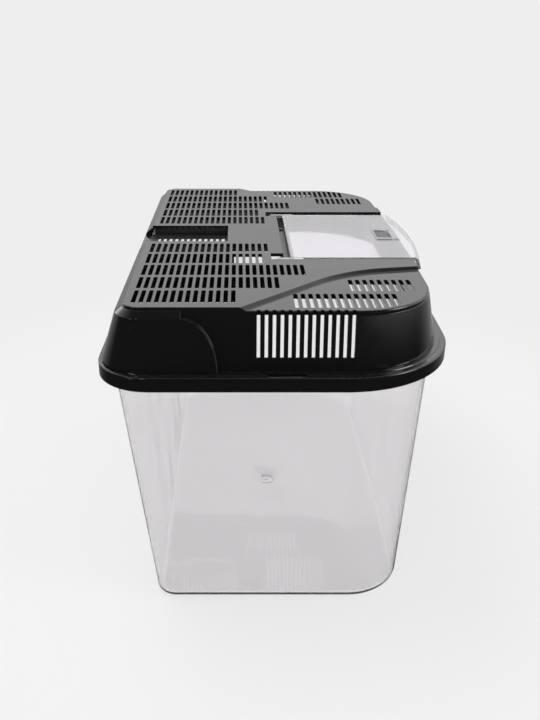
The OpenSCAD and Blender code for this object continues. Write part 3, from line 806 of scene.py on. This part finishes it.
def buildWings():
    parts = wingParts
    shape = wallAt(parts["top"])
    shape = [shape[0] + parts["cover"], shape[1], shape[2] - parts["cover"]] + shape[3:]
    border, reach = wingBorder(shape)
    clip = insetBy(shape, parts["margin"])
    clipFront = clip[2] + clip[5]

    def leftLimit(y):
        down = clipFront + clip[4] - y
        if down <= 0:
            return -clip[0]
        return -clip[0] + clip[4] - math.sqrt(max(clip[4] ** 2 - down ** 2, 0))

    slots = []
    for rowX, firstY, count, length in parts["rows"]:
        for i in range(count):
            shaped = []
            for x, y in roundedSlot(-rowX, firstY - parts["pitch"] * i, length):
                point = (max(x, leftLimit(y + parts["marginBack"])), y)
                if not shaped or (Vector(point) - Vector(shaped[-1])).length > parts["leastStep"]:
                    shaped.append(point)
            slots.append(shaped)
    for side, name in ((-1, "left"), (1, "right")):
        bm = bmesh.new()
        slabInto(bm, border, reach, slots, parts["top"], parts["under"], steps=5)
        if side > 0:
            mirrorAcross(bm)
        pieceFrom(bm, "lid_grille_" + name, finishes["lid"], "lid", ["lid_wing_" + name])


def addTool(piece, name, operation, build):
    # Boolean step whose tool mesh is filled in by build
    bm = bmesh.new()
    build(bm)
    bmesh.ops.recalc_face_normals(bm, faces=bm.faces)
    mesh = bpy.data.meshes.new(name)
    bm.to_mesh(mesh)
    bm.free()
    tool = bpy.data.objects.new(name, mesh)
    step = piece.modifiers.new(name, "BOOLEAN")
    step.operation = operation
    step.solver = "EXACT"
    step.object = tool
    return tool


def applyModifiers(piece, tools):
    # Turns the modifiers so far into plain mesh, then drops their tools
    for tool in tools:
        bpy.context.scene.collection.objects.link(tool)
    bpy.context.view_layer.update()
    graph = bpy.context.evaluated_depsgraph_get()
    mesh = bpy.data.meshes.new_from_object(piece.evaluated_get(graph))
    piece.modifiers.clear()
    piece.data = mesh
    for tool in tools:
        bpy.data.objects.remove(tool)
    mesh.shade_smooth()
    mesh.set_sharp_from_angle(angle=math.radians(40))


flangeParts = {
    "wall": 2.2 * mm,
    "profile": [  # inset from the rim's outline and height above the flange, in mm
        (2.2, -10.4), (1.9, -10.4), (0.3, -10.4), (0, -10.1), (0, -2),
        (0.03, -1.7), (0.15, -1.35), (0.4, -1.08), (0.75, -0.88), (1.3, -0.8),
        (3.8, -0.8), (4.15, -0.66), (4.3, -0.3), (4.45, -0.08), (4.8, 0),
    ],
    "windowX": (179.8 * mm, 182.8 * mm),
    "windowY": (-15 * mm, 9 * mm),
    "windowZ": (-4 * mm, 3 * mm),  # from the flange
}


def buildFlange():
    # Flange and skirt in one smooth skin, with the windows above the snap nibs
    parts = flangeParts
    rim, top, wall = lidParts["rim"], lidParts["flange"], parts["wall"]
    inner = insetBy(lidParts["foot"], wall)
    rings = [ringAt(insetBy(rim, inset * mm), top + height * mm) for inset, height in parts["profile"]]
    rings += [ringAt(inner, top), ringAt(inner, top - wall), ringAt(insetBy(rim, wall), top - wall)]
    skin = loftPiece("lid_rim_skirt", rings, loop=True)
    front, back = parts["windowY"]
    low, high = parts["windowZ"]
    tools = []
    for side in (-1, 1):
        near, far = sorted(side * x for x in parts["windowX"])
        corners = ((near, front, top + low), (far, back, top + high))
        tools.append(addTool(skin, "nibWindow", "DIFFERENCE", lambda bm: boxInto(bm, *corners)))
    applyModifiers(skin, tools)
    evenShading(skin)
    dress(skin, finishes["lid"])
    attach(skin, "lid")
    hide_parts("lid_flange", "lid_skirt_corners", "lid_skirt_sides")


hatchParts = {
    "half": 63.5 * mm,
    "top": 230 * mm,
    "thick": 2.2 * mm,
    "back": -11.5 * mm,
    "lip": -113.5 * mm,
    "bow": 6 * mm,
    "radius": 4 * mm,
    "flare": 2 * mm,
    "drop": 9 * mm,
    "lipRound": 0.4 * mm,
    "lastAngle": 170,
    "stations": 28,
    "window": (11.75 * mm, -94.65 * mm, -83.35 * mm),
    "surround": (15.75 * mm, -100.05 * mm, -81.95 * mm),
    "rise": 0.7 * mm,
    "sink": 1 * mm,
    "axis": (-1.65 * mm, 226.8 * mm),
    "armIn": 0.5 * mm,
    "armOut": 4 * mm,
    "armFront": -20.5 * mm,
    "armTop": 229.8 * mm,
    "earRadius": 2.6 * mm,
    "pinRadius": 1.7 * mm,
    "pinStart": 2 * mm,
    "pinEnd": 73.9 * mm,
}


def buildHatch():
    # Clear hatch in one moulding: sheet, bent lip, window with a raised frame, arms and pins
    parts = hatchParts
    half, top, thick, back = parts["half"], parts["top"], parts["thick"], parts["back"]
    radius, last, lipRound = parts["radius"], parts["lastAngle"], parts["lipRound"]
    foot = top - parts["drop"]
    under = top - thick

    def section(x):
        lip = parts["lip"] + parts["bow"] * (x / half) ** 2
        bend = (lip + radius + parts["flare"], top - radius)
        profile = [(back, top)] + arcPoints(*bend, radius, 90, last, 10)
        profile += [(lip, foot + lipRound), (lip + lipRound, foot)]
        profile += [(lip + thick - lipRound, foot), (lip + thick, foot + lipRound)]
        profile += arcPoints(*bend, radius - thick, last, 90, 8) + [(back, under)]
        return [(x, y, z) for y, z in profile]

    count = parts["stations"]
    sheet = loftPiece("hatch_cover", [section(-half + 2 * half * i / count) for i in range(count + 1)])
    pinY, pinZ = parts["axis"]

    def rod(bm, rodRadius, x0, x1):
        made = bmesh.ops.create_cone(bm, cap_ends=True, segments=32, radius1=rodRadius, radius2=rodRadius,
                                     depth=abs(x1 - x0))
        for vert in made["verts"]:
            x, y, z = vert.co
            vert.co = ((x0 + x1) / 2 + z, pinY + x, pinZ + y)

    frameX, frameFront, frameBack = parts["surround"]
    frameBox = ((-frameX, frameFront, top - parts["sink"]), (frameX, frameBack, top + parts["rise"]))
    holeX, holeFront, holeBack = parts["window"]
    holeBox = ((-holeX, holeFront, top - parts["drop"]), (holeX, holeBack, top + parts["drop"]))
    tools = [
        addTool(sheet, "surround", "UNION", lambda bm: boxInto(bm, *frameBox)),
        addTool(sheet, "window", "DIFFERENCE", lambda bm: boxInto(bm, *holeBox)),
    ]
    for side in (-1, 1):
        near, far = sorted((side * (half - parts["armIn"]), side * (half + parts["armOut"])))
        armBox = ((near, parts["armFront"], under), (far, pinY, parts["armTop"]))
        ear = (parts["earRadius"], side * half, side * (half + parts["armOut"]))
        pin = (parts["pinRadius"], side * (half + parts["pinStart"]), side * parts["pinEnd"])
        tools.append(addTool(sheet, "arm", "UNION", lambda bm: boxInto(bm, *armBox)))
        tools.append(addTool(sheet, "ear", "UNION", lambda bm: rod(bm, *ear)))
        tools.append(addTool(sheet, "pin", "UNION", lambda bm: rod(bm, *pin)))
    applyModifiers(sheet, tools)
    roundEdges(sheet, 0.3 * mm, 3, 50, True)
    evenShading(sheet)
    dress(sheet, finishes["hatch"])
    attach(sheet, "hatch")
    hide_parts("hatch_panel", "hatch_window", "hatch_lip", "hatch_pin_left", "hatch_pin_right")


coverParts = {
    "half": 23.8 * mm,
    "top": 223 * mm,
    "out": 3.53 * mm,  # in front of the drafted wall's line
    "in": -1.8 * mm,
    "edge": 0.3 * mm,
}


def buildBackCover():
    # Skin over the middle of the back wall, so that its two joints don't show
    parts = coverParts
    low, high, edge = lidParts["flange"], parts["top"], parts["edge"]
    profile = [(parts["out"], low), (parts["out"], high - edge), (parts["out"] - 0.33 * mm, high),
               (parts["in"], high), (parts["in"], low)]
    bm = bmesh.new()
    ends = []
    for x in (-parts["half"], parts["half"]):
        ends.append([bm.verts.new((x, wallAt(z)[1] + y, z)) for y, z in profile])
    bm.faces.new(ends[0])
    bm.faces.new(list(reversed(ends[1])))
    for i in range(len(profile)):
        k = (i + 1) % len(profile)
        bm.faces.new((ends[0][i], ends[1][i], ends[1][k], ends[0][k]))
    pieceFrom(bm, "lid_back_middle", finishes["lid"], "lid", ["lid_wall_middle"])


buildTub()
buildRim()
print("stage: tub built")
buildDeck()
buildSteps()
buildWings()
print("stage: deck and grilles built")
buildFlange()
buildBackCover()
print("stage: flange built")
buildHatch()
print("stage: hatch built")

lightSetup = {
    "background": 0.855,  # the photograph's pale grey, as light
    "ambient": 0.75,
    "glossLow": 0.45,
    "glossHigh": 1.6,
    "glossLeast": 0.03,
    "glossRise": (0.05, 0.5),
    "glossBeyond": (-0.3, 0.6),  # mirrored light grows away from the camera
    "flank": 1.1,  # bright side wall on the side of the hatch's lip
    "flankSide": (-0.72, -0.97),
    "flankHeight": (-0.25, -0.1, 0.55, 0.75),
    "strip": 2.5,  # narrow window on the other side
    "stripSide": (0.55, 0.62, 0.7, 0.78),
    "stripHeight": (0.0, 0.05, 0.4, 0.5),
    "floorSize": 24.0,
    "floorDrop": 0.2 * mm,
    "floorGlow": 0.8,
    "floorFade": (0.26, 0.6),  # distances between which the shadow fades out
    "floorBeyond": (-0.1, 0.5),
    "floorFlank": (-0.9, -2.2),
    "softboxes": [  # name, place, target, width, height, watts, mirrored by glossy faces
        ("softboxTop", (0.2, 0.5, 1.3), (0, 0, 0.1), 1.0, 0.8, 12, False),
        ("softboxSide", (-0.5, -1.2, 0.8), (0, 0, 0.1), 0.5, 0.9, 8, True),
        ("softboxEdge", (-0.75, 0.35, 0.95), (0, 0, 0.2), 0.1, 0.3, 0.5, True),
    ],
}


def buildWorld():
    # Seen directly the world is the pale backdrop; reflected, it is dark on the camera's side
    setup = lightSetup
    world = bpy.data.worlds.new("studio")
    bpy.context.scene.world = world
    finish = Finish(world)
    direction = finish.add("ShaderNodeTexCoord", out="Generated")
    along, sideways, height = [finish.part(direction, axis) for axis in "XYZ"]
    beyond = finish.between(along, *setup["glossBeyond"])
    flank = finish.between(sideways, *setup["flankSide"]) * finish.band(height, *setup["flankHeight"])
    strip = finish.band(sideways, *setup["stripSide"]) * finish.band(height, *setup["stripHeight"])
    gloss = finish.between(height, *setup["glossRise"], setup["glossLow"], setup["glossHigh"]) * beyond
    gloss = gloss + setup["glossLeast"] + flank * setup["flank"] + strip * setup["strip"]
    seen, isGlossy = finish.rays()
    level = isGlossy * gloss + (1 - isGlossy) * setup["ambient"]
    level = seen * setup["background"] + (1 - seen) * level
    shader = finish.add("ShaderNodeBackground", {}, {"Color": (1, 1, 1, 1), "Strength": level})
    finish.finishWith(shader, "ShaderNodeOutputWorld")


def buildFloor():
    # Pale floor that keeps the soft shadow near the keeper and fades into the backdrop
    setup = lightSetup
    mesh = bpy.data.meshes.new("floor")
    bm = bmesh.new()
    bmesh.ops.create_grid(bm, x_segments=1, y_segments=1, size=setup["floorSize"] / 2)
    bm.to_mesh(mesh)
    bm.free()
    floor = bpy.data.objects.new("floor", mesh)
    floor.location.z = -setup["floorDrop"]
    bpy.context.scene.collection.objects.link(floor)
    finish = Finish(bpy.data.materials.new("pale floor"))
    where = finish.place()
    distance = finish.add("ShaderNodeVectorMath", {"operation": "LENGTH"}, {0: where}, out=1)
    fade = finish.between(distance, *setup["floorFade"])
    flank = finish.between(finish.part(where, "Y"), *setup["floorFlank"]) * setup["flank"]
    least, most = setup["glossLeast"], setup["glossLow"]
    gloss = finish.between(finish.part(where, "X"), *setup["floorBeyond"], least, most) + flank
    seen, isGlossy = finish.rays()
    glow = finish.add("ShaderNodeEmission", {}, {"Strength": seen * setup["background"] + isGlossy * gloss})
    matte = finish.add("ShaderNodeBsdfDiffuse", {}, {"Color": (0.8, 0.8, 0.8, 1)})
    share = (seen * (setup["floorGlow"] + fade * (1 - setup["floorGlow"])) + isGlossy).atMost(1.0)
    shader = finish.add("ShaderNodeMixShader", {}, {0: share, 1: matte, 2: glow})
    dress(floor, finish.finishWith(shader))


def softbox(name, place, target, width, height, power, shows):
    data = bpy.data.lights.new(name, "AREA")
    data.shape = "RECTANGLE"
    data.size = width
    data.size_y = height
    data.energy = power
    lamp = bpy.data.objects.new(name, data)
    lamp.location = place
    lamp.visible_glossy = shows
    lamp.rotation_euler = (Vector(target) - Vector(place)).to_track_quat("-Z", "Y").to_euler()
    bpy.context.scene.collection.objects.link(lamp)


buildWorld()
buildFloor()
for box in lightSetup["softboxes"]:
    softbox(*box)
print("stage: light and floor set")
